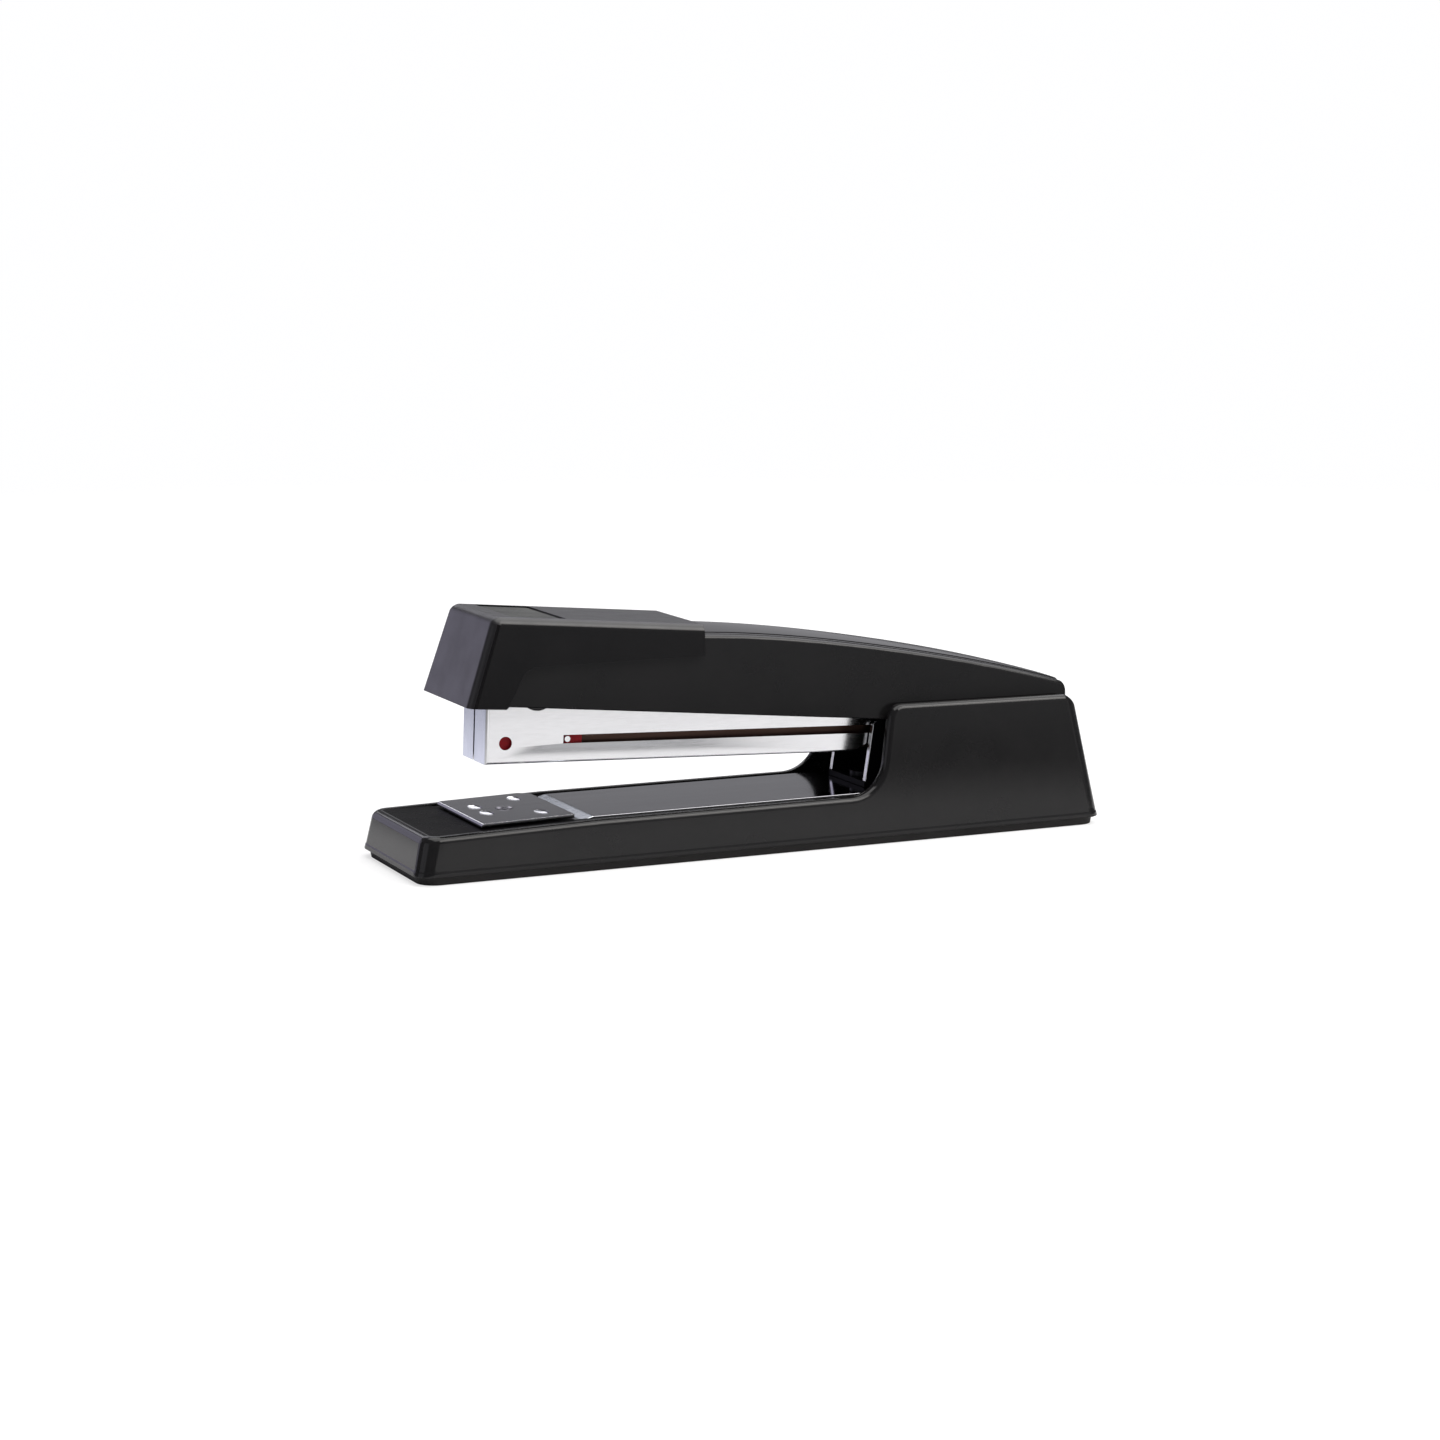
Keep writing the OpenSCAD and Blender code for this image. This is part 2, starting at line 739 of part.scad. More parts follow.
base_shell();
foot_pad();
base_plate();
base_screws();
steel_strip();
hinge_bracket();
bracket_screws();
hinge_pin();
pin_clips();
lift_spring();
anvil_plate();
anvil_post();
anvil_button();
anvil_spring();
magazine_channel();
staple_rail();
guide_rod();
rod_stop();
follower_spring();
rail_rivets();
follower();
follower_pins();
handle_shell();
front_cap();
cap_inlay();
handle_frame();
driver_blade();
driver_rivets();
press_spring();
spring_rivet();
shell_screws();
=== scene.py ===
import math

import bmesh
import bpy
from mathutils import Matrix, Vector


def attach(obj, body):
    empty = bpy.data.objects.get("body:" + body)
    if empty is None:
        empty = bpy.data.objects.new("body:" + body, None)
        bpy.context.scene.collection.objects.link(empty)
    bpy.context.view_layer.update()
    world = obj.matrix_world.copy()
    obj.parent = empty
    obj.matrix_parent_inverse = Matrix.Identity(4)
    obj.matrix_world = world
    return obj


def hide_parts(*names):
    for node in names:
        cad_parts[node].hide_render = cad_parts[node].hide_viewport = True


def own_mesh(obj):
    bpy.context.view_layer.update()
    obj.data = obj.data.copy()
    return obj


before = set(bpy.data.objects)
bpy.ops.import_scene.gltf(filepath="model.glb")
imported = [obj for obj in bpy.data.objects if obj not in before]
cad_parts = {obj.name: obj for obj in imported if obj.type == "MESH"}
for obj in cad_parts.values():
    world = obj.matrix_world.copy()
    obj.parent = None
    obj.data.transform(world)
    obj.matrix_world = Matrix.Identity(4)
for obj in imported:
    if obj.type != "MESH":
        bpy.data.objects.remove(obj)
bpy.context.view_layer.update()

# Shapes are drawn in millimetres: x from the front of the base, y across, z up from the desk.
MM = 0.001
BASE_LENGTH = 180.0
HINGE = (158.0, 25.0)  # hinge pin (x, z) at rest
NOSE_TILT = 1.3  # degrees that the front of the base slopes down
ANVIL = (28.5, 11.7)  # centre (x, z) of the anvil plate's underside

FROM_NOSE = Matrix.Translation((-BASE_LENGTH / 2, 0, 0))
ALONG_X = Matrix.Rotation(math.pi / 2, 4, "Y")  # turns local Z to point along x


# ---------------------------------------------------------------- meshes

def in_magazine():
    """Magazine frame: X from its front face, Z from its lower edge, tilted about the hinge."""
    tilt, front, lower_edge = math.radians(2.25), 20.9, 24.6
    dx, dz = HINGE[0] - front, HINGE[1] - lower_edge
    u = dx * math.cos(tilt) - dz * math.sin(tilt)
    v = dx * math.sin(tilt) + dz * math.cos(tilt)
    return (FROM_NOSE @ Matrix.Translation((HINGE[0], 0, HINGE[1]))
            @ Matrix.Rotation(tilt, 4, "Y") @ Matrix.Translation((-u, 0, -v)))


MAG = in_magazine()
ANVIL_FRAME = (FROM_NOSE @ Matrix.Translation((ANVIL[0], 0, ANVIL[1]))
               @ Matrix.Rotation(-math.radians(NOSE_TILT), 4, "Y"))


def edit_mesh(me, change):
    """Runs a bmesh edit on mesh data."""
    bm = bmesh.new()
    bm.from_mesh(me)
    change(bm)
    bm.to_mesh(me)
    bm.free()


def mesh_object(name, verts, faces, place=FROM_NOSE):
    """Mesh drawn in millimetres, placed by a matrix in millimetres, kept in metres."""
    me = bpy.data.meshes.new(name)
    me.from_pydata([tuple((place @ Vector(v)) * MM) for v in verts], [], faces)

    def clean(bm):
        bmesh.ops.remove_doubles(bm, verts=bm.verts, dist=1e-7)
        bmesh.ops.dissolve_degenerate(bm, edges=bm.edges, dist=1e-7)
        bmesh.ops.recalc_face_normals(bm, faces=bm.faces)

    edit_mesh(me, clean)
    ob = bpy.data.objects.new(name, me)
    bpy.context.scene.collection.objects.link(ob)
    return ob


def apply_modifiers(ob):
    bpy.context.view_layer.update()
    dg = bpy.context.evaluated_depsgraph_get()
    me = bpy.data.meshes.new_from_object(ob.evaluated_get(dg), preserve_all_data_layers=True,
                                         depsgraph=dg)
    ob.modifiers.clear()
    ob.data = me


def cut(ob, *cutters):
    """Cuts away each cutter in turn, and removes them."""
    for c in cutters:
        m = ob.modifiers.new("cut", "BOOLEAN")
        m.operation, m.solver, m.object = "DIFFERENCE", "EXACT", c
        apply_modifiers(ob)
    for c in cutters:
        bpy.data.objects.remove(c)


def soften(ob, width, segments=2, limit=30):
    """Rounds the edges sharper than the limit by a small width.

    Faces with many corners may wrap round a hole, so they are split into triangles first.
    """
    edit_mesh(ob.data, lambda bm: bmesh.ops.triangulate(
        bm, faces=[f for f in bm.faces if len(f.verts) > 4]))
    m = ob.modifiers.new("round", "BEVEL")
    m.width, m.segments, m.limit_method = width * MM, segments, "ANGLE"
    m.angle_limit = math.radians(limit)
    m.miter_outer, m.use_clamp_overlap = "MITER_ARC", True
    apply_modifiers(ob)


def flat_regions(bm, same_plane=0.99999):
    """Numbers the connected coplanar regions; returns each face's region and the areas."""
    region, areas = {}, []
    for seed in bm.faces:
        if seed in region:
            continue
        region[seed], area, stack = len(areas), 0.0, [seed]
        while stack:
            f = stack.pop()
            area += f.calc_area()
            for e in f.edges:
                for g in e.link_faces:
                    if g not in region and g.normal.dot(seed.normal) > same_plane:
                        region[g] = len(areas)
                        stack.append(g)
        areas.append(area)
    return region, areas


def smooth_fan(face, vert):
    """Faces round a corner that are reached from a face without crossing a sharp edge."""
    fan, stack = {face}, [face]
    while stack:
        for e in stack.pop().edges:
            if e.smooth and vert in e.verts:
                new = [g for g in e.link_faces if g not in fan]
                fan.update(new)
                stack.extend(new)
    return sorted(fan, key=lambda g: g.index)


def shade(ob, angle=38):
    """Smooth shading that stays flat on flat faces, however they are divided.

    Each corner's normal is the mean of the flat regions that meet there, weighted by area.
    """
    me = ob.data
    me.polygons.foreach_set("use_smooth", [True] * len(me.polygons))
    me.set_sharp_from_angle(angle=math.radians(angle))
    bm = bmesh.new()
    bm.from_mesh(me)
    region, areas = flat_regions(bm)
    normals = []
    for face in bm.faces:
        for loop in face.loops:
            total = Vector()
            for k, n in {region[g]: g.normal for g in smooth_fan(face, loop.vert)}.items():
                total += n * areas[k]
            normals.append(total.normalized())
    bm.free()
    me.normals_split_custom_set(normals)


def loft(rings, loop=False):
    """Closed sections joined one to the next; the ends are capped unless it is a loop."""
    n = len(rings[0])
    verts = [p for r in rings for p in r]
    faces = []
    for i in range(len(rings) if loop else len(rings) - 1):
        a, b = i * n, ((i + 1) % len(rings)) * n
        faces += [(a + k, a + (k + 1) % n, b + (k + 1) % n, b + k) for k in range(n)]
    if not loop:
        faces += [tuple(range(n))[::-1], tuple(len(verts) - n + k for k in range(n))]
    return verts, faces


def mirrored(ring):
    return [(x, -y, z) for x, y, z in ring]


def both_sides(x, side):
    """Section at x from its near half of (y, z) points."""
    return [(x, y, z) for y, z in side] + [(x, -y, z) for y, z in reversed(side)]


def arc(x, z, r, a0, a1, n=12):
    turn = [math.radians(a0 + (a1 - a0) * i / n) for i in range(n + 1)]
    return [(x + r * math.cos(a), z + r * math.sin(a)) for a in turn]


def circle(x, z, rx, rz, n):
    """Points of an ellipse with the given half-axes."""
    turn = [2 * math.pi * k / n for k in range(n)]
    return [(x + rx * math.cos(a), z + rz * math.sin(a)) for a in turn]


def prism(name, outline, y0, y1, place=FROM_NOSE):
    """Side outline of (x, z) points, extruded across from y0 to y1."""
    return mesh_object(name, *loft([[(x, y, z) for x, z in outline] for y in (y0, y1)]), place)


def pillar(name, outline, z0, z1, place=FROM_NOSE):
    """Plan outline of (x, y) points, extruded up from z0 to z1."""
    return mesh_object(name, *loft([[(x, y, z) for x, y in outline] for z in (z0, z1)]), place)


def block(name, x, y, z, place=FROM_NOSE):
    corners = [(x[0], z[0]), (x[1], z[0]), (x[1], z[1]), (x[0], z[1])]
    return prism(name, corners, y[0], y[1], place)


def coil(name, r, wire, length, turns, place, steps=26, sides=8):
    """Coil spring wound about local Z, with close turns at each end."""
    closed = 1.2  # turns wound close at each end
    open_length = (length - wire) - 2 * closed * wire
    n = int(turns * steps)
    rings = []
    for i in range(n + 1):
        t = turns * i / n
        if t < closed:
            z = t * wire
        elif t > turns - closed:
            z = length - wire - (turns - t) * wire
        else:
            z = closed * wire + open_length * (t - closed) / (turns - 2 * closed)
        a = 2 * math.pi * t
        section = circle(r - wire / 2, z + wire / 2, wire / 2, wire / 2, sides)
        rings.append([(q * math.cos(a), q * math.sin(a), h) for q, h in section])
    return mesh_object(name, *loft(rings), place)


def place_piece(ob, materials, body, slot, *nodes):
    """Gives a piece its materials and body, and hides the CAD nodes that it replaces; the slot is not
    used.
    """
    ob.data.materials.clear()
    for m in materials:
        ob.data.materials.append(m)
    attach(ob, body)
    if nodes:
        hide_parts(*nodes)


def paint(ob, index, test):
    """Gives the faces that pass a test another of the piece's materials."""
    for f in ob.data.polygons:
        if test(f):
            f.material_index = index


def refined(node, name, width, materials, body, slot):
    """A node's own shape with its sharp edges rounded."""
    ob = bpy.data.objects.new(name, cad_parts[node].data.copy())
    bpy.context.scene.collection.objects.link(ob)

    def clean(bm):
        bmesh.ops.remove_doubles(bm, verts=bm.verts, dist=2e-7)
        bmesh.ops.dissolve_limit(bm, angle_limit=math.radians(0.5), verts=bm.verts, edges=bm.edges)

    edit_mesh(ob.data, clean)
    ob.data.materials.clear()
    soften(ob, width)
    shade(ob)
    place_piece(ob, materials, body, slot, node)
    return ob


# ---------------------------------------------------------------- materials

class Nodes:
    """A procedural material on one principled shader."""

    def __init__(self, name, **sockets):
        self.material = bpy.data.materials.new(name)
        self.material.use_nodes = True
        self.tree = self.material.node_tree
        self.shader = self.tree.nodes["Principled BSDF"]
        for k, v in sockets.items():
            self.shader.inputs[k.replace("_", " ")].default_value = v
        self.coord = self.add("TexCoord").outputs["Object"]

    def add(self, kind, **sockets):
        node = self.tree.nodes.new("ShaderNode" + kind)
        for k, v in sockets.items():
            node.inputs[k.replace("_", " ")].default_value = v
        return node

    def link(self, a, b):
        self.tree.links.new(a, b)

    def set(self, socket, value):
        self.link(value, self.shader.inputs[socket])

    def noise(self, scale, detail, stretch=(1, 1, 1)):
        m = self.add("Mapping", Scale=stretch)
        self.link(self.coord, m.inputs["Vector"])
        n = self.add("TexNoise", Scale=scale, Detail=detail, Roughness=0.55)
        self.link(m.outputs["Vector"], n.inputs["Vector"])
        return n.outputs["Fac"]

    def spread(self, value, low, high, start=0.3, end=0.7):
        r = self.add("MapRange", From_Min=start, From_Max=end, To_Min=low, To_Max=high)
        self.link(value, r.inputs["Value"])
        return r.outputs["Result"]

    def mix(self, factor, a, b):
        x = self.add("Mix")
        x.data_type = "RGBA"
        self.link(factor, x.inputs["Factor"])
        for socket, colour in ((x.inputs[6], a), (x.inputs[7], b)):
            socket.default_value = (*colour, 1)
        return x.outputs[2]

    def bump(self, value, distance):
        b = self.add("Bump", Strength=1.0, Distance=distance)
        self.link(value, b.inputs["Height"])
        return b.outputs["Normal"]


def plastic(name, dark, light, rough, grain, grain_height, specular=0.5, smear=0.05):
    """Mottled between two tones; grain is the bump's noise scale and its height in metres."""
    m = Nodes(name, Specular_IOR_Level=specular)
    m.set("Base Color", m.mix(m.spread(m.noise(60, 4), 0, 1), dark, light))
    m.set("Roughness", m.spread(m.noise(140, 5), rough - smear, rough + smear))
    m.set("Normal", m.bump(m.noise(grain, 2), grain_height))
    return m.material


def metal(name, dark, light, rough, lines, scale, height, smear=0.05):
    """Noise stretched into lines; scale and height (in metres) are those of its bump."""
    m = Nodes(name, Metallic=1.0)
    m.set("Base Color", m.mix(m.spread(m.noise(220, 5, lines), 0, 1), dark, light))
    m.set("Roughness", m.spread(m.noise(scale, 4, lines), rough - smear, rough + smear))
    m.set("Normal", m.bump(m.noise(scale, 3, lines), height))
    return m.material


BRUSHED_X = (0.04, 1, 1)
FINE_X = (0.1, 1, 1)
FINE_Z = (1, 1, 0.2)
EVEN = (1, 1, 1)

BLACK_SHELL = plastic("black_shell", (0.0083, 0.0082, 0.0086), (0.0110, 0.0106, 0.0110),
                      0.10, 2600, 8e-7, 0.32, 0.02)
# Glossy plastic for the cap's sides, darker than the cap's own tone: the gloss is real, the darker
# tone is painted shade.
CAP_SIDE_GLOSS_SHADE = plastic("cap_side_gloss_and_shade", (0.004, 0.004, 0.0045), (0.0065, 0.006, 0.0065),
                    0.13, 2600, 1e-6, 0.3, 0.03)
# A darker copy of the black plastic that hardly reflects: painted shade for the deck and the cap's
# lower and rear edges.
SHADE_BLACK = plastic("painted_shade_black", (0.003, 0.003, 0.003), (0.006, 0.0055, 0.006),
                      0.28, 3800, 4e-6, 0.01)
CAP_TEXTURE = plastic("cap_texture", (0.006, 0.0055, 0.0065), (0.010, 0.0095, 0.011),
                      0.33, 5200, 1.6e-5, 0.55)
INLAY_TEXTURE = plastic("inlay_texture", (0.003, 0.0035, 0.003), (0.06, 0.063, 0.055),
                        0.42, 1500, 1.6e-4, 0.22)
RUBBER = plastic("rubber", (0.010, 0.009, 0.009), (0.016, 0.015, 0.015), 0.62, 3000, 1.5e-5, 0.35)
DARK_PLASTIC = plastic("dark_plastic", (0.012, 0.012, 0.013), (0.02, 0.02, 0.021),
                       0.45, 3000, 1e-5)
RED_PLASTIC = plastic("red_plastic", (0.22, 0.004, 0.009), (0.30, 0.008, 0.014),
                      0.35, 2600, 4e-6, 0.15)
DARK_NICKEL = plastic("dark_nickel", (0.003, 0.003, 0.004), (0.005, 0.005, 0.006),
                      0.35, 1500, 2.5e-6, 0.03)
NICKEL = metal("nickel", (0.78, 0.785, 0.80), (0.83, 0.835, 0.85), 0.16, FINE_X, 3200, 6e-7, 0.03)
# A darker, bluer copy of the nickel for the channel's front faces: painted shade with a painted
# bluish reflection.
SHADED_FRONT_NICKEL = metal("nickel_front_painted_shade", (0.66, 0.69, 0.84), (0.74, 0.77, 0.92),
                    0.22, FINE_Z, 1500, 2.5e-6)
POLISHED_STEEL = metal("polished_steel", (0.26, 0.25, 0.27), (0.34, 0.33, 0.35),
                       0.20, BRUSHED_X, 1200, 2e-6)
STRIP_STEEL = metal("strip_steel", (0.19, 0.19, 0.205), (0.235, 0.235, 0.25),
                    0.12, BRUSHED_X, 1200, 1.2e-6, 0.03)
# A pale copy of the strip steel: a painted highlight for the strip's step.
STEP_HIGHLIGHT_STEEL = metal("step_painted_highlight", (0.68, 0.72, 0.76), (0.72, 0.76, 0.80),
                   0.16, BRUSHED_X, 1500, 3e-7, 0.03)
PLAIN_STEEL = metal("plain_steel", (0.42, 0.42, 0.43), (0.55, 0.55, 0.56), 0.34, EVEN, 700, 6e-6)
RAIL_STEEL = metal("rail_steel", (0.045, 0.026, 0.022), (0.075, 0.045, 0.036),
                   0.38, BRUSHED_X, 900, 4e-6)
DARK_WIRE = metal("dark_wire", (0.02, 0.02, 0.022), (0.04, 0.04, 0.043), 0.35, EVEN, 1600, 4e-6)
WIRE = metal("spring_wire", (0.45, 0.45, 0.47), (0.62, 0.62, 0.64), 0.28, EVEN, 1600, 4e-6)


# ---------------------------------------------------------------- base shell

FOOT_Z = 1.8  # top of the recessed foot
CORNER = 4.3  # plan radius of the four corners
LIP = 0.14  # how far the wall stands back above the foot's edge
OVERHANG = 0.5  # how far each end stands proud of the nominal length
WALL, WALL_BOTTOM = 2.55, 1.9
INNER_ROUND = 0.4
NOTCH_HALF, NOTCH_Z, NOTCH_ROUND = 15.9, 13.0, 0.8  # notch in the rear wall
NOSE_END = 45.0  # where the rim turns level
NOSE_SLOPE = math.tan(math.radians(NOSE_TILT))
NOSE_RIM = 11.05
RIM_LEVEL = 12.0
RIM_ROUND, FRONT_ROUND = 1.5, 1.7  # radius of the rim along the sides and across the front
REAR_TOP = (33.0, 169.8)  # height of the housing's rear end, and where its rounding starts
REAR_ROUND = 5.0


def half_at(z):
    return 21.3 - 0.075 * (z - FOOT_Z)


def front_at(z):
    return 0.22 * (z - FOOT_Z) - OVERHANG


def rear_at(z):
    return BASE_LENGTH - 0.205 * (z - FOOT_Z) + OVERHANG


def rear_top(a):
    """Height of the rim round the rear corner, where its side view is rounded too."""
    top, start = REAR_TOP
    z = top
    for _ in range(12):  # converges, as the rear wall leans
        run = min(REAR_ROUND, max(0.0, rear_at(z) - CORNER * (1 - math.cos(a)) - start))
        z = top - REAR_ROUND + math.sqrt(REAR_ROUND ** 2 - run ** 2)
    return z


def rim_profile():
    """Side view of the rim, from the nose to the rear corner, with its normals."""
    top, end = REAR_TOP
    pts = [(x, RIM_LEVEL - (NOSE_END - x) * NOSE_SLOPE) for x in (6.6, 10, 16, 22, 28, 34, 40)]
    pts += [(x, RIM_LEVEL) for x in (45, 52, 60, 70, 80, 90, 100, 106)]
    pts += arc(110.4, 21.3, 9.3, -90, -8, 18)  # hollow sweep up to the housing
    pts += arc(124.9, 29.8, 3.8, 172, 90, 12)  # and the housing's front shoulder
    pts += [(x, top + 0.0135 * (end - x)) for x in (129, 136, 144, 152, 160, 165, 168)]
    out = []
    for i, p in enumerate(pts):
        a, b = pts[max(i - 1, 0)], pts[min(i + 1, len(pts) - 1)]
        tx, tz = b[0] - a[0], b[1] - a[1]
        length = math.hypot(tx, tz)
        out.append((p, (-tz / length, tx / length)))
    return out


def wall_section(where, top, radius, normal=(0.0, 1.0)):
    """One section of the wall: up the outer face, over the rim and down the inner face.

    where(depth, z, along) gives the point at a depth in from the outer face.
    """
    foot = [(1.85, 2.2), (1.85, 0.3), (1.95, 0.08), (2.15, 0.0), (2.9, 0.0), (3.15, 0.05),
            (3.3, LIP), (4.2, LIP)]
    reach = min(1.0, max(0.0, (WALL - INNER_ROUND - LIP) / radius))
    end = math.acos(max(0.0, 1 - reach))
    rim = []
    for k in range(8):
        a = end * k / 7
        rim.append((LIP + radius * (1 - math.cos(a)), radius * (1 - math.sin(a))))
    u0, d0 = max(rim[-1][0], WALL - INNER_ROUND), rim[-1][1]
    for k in range(5):
        a = math.pi / 2 * k / 4
        rim.append((u0 + INNER_ROUND * math.sin(a), d0 + INNER_ROUND * (1 - math.cos(a))))
    nx, nz = normal
    return ([where(u, z, 0.0) for z, u in foot]
            + [where(u, top - nz * d, -nx * d) for u, d in rim]
            + [where(WALL, WALL_BOTTOM, 0.0)])


def front_wall(f):
    """Sections across the front, at a fraction of the half width."""
    return lambda u, z, s: (front_at(z) + u, f * (half_at(z) - CORNER), z)


def front_corner(t):
    a = math.radians(180 - 90 * t)
    return lambda u, z, s: (front_at(z) + CORNER + (CORNER - u) * math.cos(a),
                            half_at(z) - CORNER + (CORNER - u) * math.sin(a), z)


def side_wall(x):
    return lambda u, z, s: (x + s, half_at(z) - u, z)


def rear_corner(t):
    def where(u, z, s):
        cy = half_at(z) - CORNER
        last = math.asin(min(1.0, max(0.0, (NOTCH_HALF - cy) / CORNER)))
        a = math.pi / 2 + (last - math.pi / 2) * t
        return rear_at(z) - CORNER + (CORNER - u) * math.cos(a), cy + (CORNER - u) * math.sin(a), z
    return where


def rear_wall(y):
    return lambda u, z, s: (rear_at(z) - u, y, z)


def base_half():
    """Wall sections from the middle of the front round one side to the middle of the rear."""
    change = FRONT_ROUND - RIM_ROUND
    rings = [wall_section(front_wall(f), NOSE_RIM, FRONT_ROUND) for f in (0.0, 0.5, 0.8, 1.0)]
    for k in range(1, 16):
        t = k / 16
        rings.append(wall_section(front_corner(t), NOSE_RIM + 0.08 * t, FRONT_ROUND - change * t))
    for (x, z), normal in rim_profile():
        rings.append(wall_section(side_wall(x), z, RIM_ROUND, normal))
    for k in range(1, 17):
        t = k / 16
        top = rear_top(math.pi / 2 - 1.2 * t)
        rings.append(wall_section(rear_corner(t), top, RIM_ROUND + change * t))
    for y in (NOTCH_HALF - 0.02, 8.0, 0.0):
        rings.append(wall_section(rear_wall(y), NOTCH_Z, NOTCH_ROUND))
    return rings


half = base_half()
far_half = [mirrored(r) for r in reversed(half[1:-1])]
base = mesh_object("base_housing", *loft(half + far_half, loop=True))
shade(base, 32)
place_piece(base, [BLACK_SHELL], "base", "black_shell", "base_shell")

# The deck is flat at the nose; behind it, a ledge runs down each side of the strip's seat.
NOSE_FLAT, LEDGE_X, SEAT_LIFT = 11.02, 16.5, 0.5
SEAT_Z = 11.2
deck_rings = []
for x in (3.2, LEDGE_X):
    deck_rings.append(both_sides(x, [
        (18.3, NOSE_FLAT - 1.7), (18.3, NOSE_FLAT - 0.1), (18.05, NOSE_FLAT),
        (17.0, NOSE_FLAT), (16.8, NOSE_FLAT), (16.0, NOSE_FLAT)]))
for x, seat_lift in ((LEDGE_X + 0.15, SEAT_LIFT), (40.2, SEAT_LIFT), (40.3, 0.0),
                     (NOSE_END, 0.0), (147.0, 0.0)):
    level = SEAT_Z - max(0.0, NOSE_END - x) * NOSE_SLOPE
    ledge = level + max(seat_lift, 0.5)
    deck_rings.append(both_sides(x, [
        (18.3, level - 2), (18.3, level - 0.5), (16.55, level - 0.5),
        (16.42, ledge), (15.72, ledge), (15.6, level + seat_lift)]))
deck = mesh_object("base_deck", *loft(deck_rings))
soften(deck, 0.12)
shade(deck, 32)
# The deck is given the near-black, unreflecting copy of the shell plastic: painted shade.
place_piece(deck, [SHADE_BLACK], "base", "black_shell")

# ---------------------------------------------------------------- strip, bracket and anvil

STRIP_HALF, STRIP_START, STRIP_END = 15.3, 38.5, 147
STRIP_THICK, STEP_HEIGHT = 0.8, 0.8
STEP_START, STEP_RUN = 41.5, 3.7
STEP_PARTS = 16

# The strip steps up behind the anvil: the slope grows over three parts, then fades over three.
slopes = [min(1.0, (k + 0.5) / 3, (STEP_PARTS - 0.5 - k) / 3) for k in range(STEP_PARTS)]
rise = [(STEP_START + STEP_RUN * k / STEP_PARTS, STEP_HEIGHT * sum(slopes[:k]) / sum(slopes))
        for k in range(STEP_PARTS + 1)]
low = SEAT_Z - STRIP_THICK
strip = prism("desk_strip",
              [(STRIP_START, low)] + [(x + 0.2, low + z) for x, z in rise]
              + [(STRIP_END, SEAT_Z), (STRIP_END, SEAT_Z + STRIP_THICK)]
              + [(x, SEAT_Z + z) for x, z in reversed(rise)] + [(STRIP_START, SEAT_Z)],
              -STRIP_HALF, STRIP_HALF)
soften(strip, 0.28, 3, 50)
shade(strip, 45)
place_piece(strip, [STRIP_STEEL, STEP_HIGHLIGHT_STEEL], "base", "steel_polished", "steel_strip")
# The step's forward-facing slope is painted in the pale steel: a painted highlight.
paint(strip, 1, lambda f: f.normal.x < -0.06 and f.normal.z > 0.4)

# The bracket is near black; the front edges of its arms are painted in bright nickel as a painted
# highlight.
bracket = refined("hinge_bracket", "pivot_bracket", 0.2, [DARK_NICKEL, NICKEL], "base", "nickel")
paint(bracket, 1, lambda f: f.normal.x < -0.25 and f.area < 1.6e-5
      and f.center.z > 0.0145 and f.center.x < 0.045)

PLATE_FRONT, PLATE_REAR, PLATE_THICK = -11.3, 11.7, 0.9
POST_RADIUS = 2.16
DIMPLES = ((-5.9, 4.0), (-5.9, -4.0), (5.9, 9.0), (5.9, -9.0))
DIMPLE_AXES = (1.6, 3.1, 0.62)  # half-axes of the ellipsoid that presses each one
DIMPLE_Z = 1.0
plate = prism("anvil_top",
              [(PLATE_FRONT, 0.0)] + arc(-10.6, 0.2, 0.7, 180, 90, 8)
              + [(PLATE_REAR, PLATE_THICK), (PLATE_REAR, 0.0)],
              -STRIP_HALF, STRIP_HALF, ANVIL_FRAME)
cut(plate, pillar("corner", [(12.2, 12.3), (8.7, 15.8), (12.2, 15.8)], -1, 2, ANVIL_FRAME))
for x, y in DIMPLES:
    rings = []
    for i in range(1, 16):
        a = math.pi * i / 16
        rx, ry, rz = DIMPLE_AXES
        rings.append([(px, py, DIMPLE_Z - rz * math.cos(a))
                      for px, py in circle(x, y, rx * math.sin(a), ry * math.sin(a), 40)])
    cut(plate, mesh_object("dimple", *loft(rings), ANVIL_FRAME))
cut(plate, pillar("hole", circle(0, 0, POST_RADIUS, POST_RADIUS, 40), -1, 2, ANVIL_FRAME))
soften(plate, 0.3, 3, 48)
shade(plate)
place_piece(plate, [STRIP_STEEL, NICKEL], "anvil", "steel_polished", "anvil_plate")


def plate_highlight_faces(f):
    """Faces of the plate's rounded edges and dimples, but not its front edge; they get the bright
    nickel as a painted highlight.
    """
    local = ANVIL_FRAME.inverted() @ (f.center / MM)
    in_dimple = f.normal.z > 0.2 and local.z < 0.8
    return f.normal.x > -0.5 and (0.2 < f.normal.z < 0.985 or in_dimple)


# The dark plate steel's rounded edges and dimples are painted in bright nickel: a painted highlight.
paint(plate, 1, plate_highlight_faces)

# ---------------------------------------------------------------- magazine

SHEET, MAG_HALF, MAG_TOP = 0.8, 7.9, 16.5
PIN_U, PIN_V = 137.0, 5.78  # pin hole in the magazine frame
FOLD_ROUND = 0.9
SPRING_START, SPRING_LENGTH, SPRING_Z = 16.1, 107.7, 5

channel = prism("channel",
                [(0, 0), (94, 0), (97, 0.6), (100.5, 2.5), (129, 2.5), (133.5, 1.55), (135.6, 0.45)]
                + arc(PIN_U, PIN_V, 5.5, -90, 0, 10)
                + [(142.5, 11.2), (129, 14), (117, MAG_TOP), (5, MAG_TOP), (0, 14.5)],
                -MAG_HALF, MAG_HALF, MAG)


